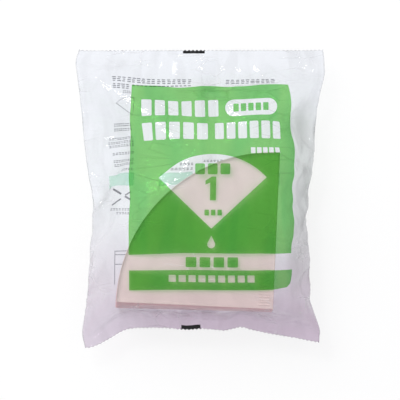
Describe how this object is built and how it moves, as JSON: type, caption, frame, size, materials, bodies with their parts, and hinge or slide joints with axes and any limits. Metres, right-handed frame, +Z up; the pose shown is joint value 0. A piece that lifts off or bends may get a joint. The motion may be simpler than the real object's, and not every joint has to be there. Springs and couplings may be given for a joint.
{
  "type": "pack of paper coffee filters",
  "caption": "Sealed clear film bag with saw-tooth end seals and a green panel print, holding a flat stack of folded cone-shaped paper filters.",
  "frame": {"origin": "on the table under the middle of the pack's box", "axes": "+Z up out of the printed front, +Y towards the top seal, +X to the right as the print is seen"},
  "size_m": [0.168, 0.203, 0.0482],
  "materials": {
    "clear_film": "thin clear glossy film",
    "green_ink": "translucent green print on film",
    "grey_ink": "dark grey print on film",
    "pale_green_ink": "pale green print on film",
    "black_ink": "black print on film",
    "filter_paper": "matt creped filter paper"
  },
  "bodies": {
    "root": {"film_bag": "clear_film", "front_print": "green_ink", "back_print": "grey_ink", "back_strip": "pale_green_ink", "register_marks": "black_ink", "front_filter": "filter_paper", "paper_filters": "filter_paper"}
  },
  "joints": []
}
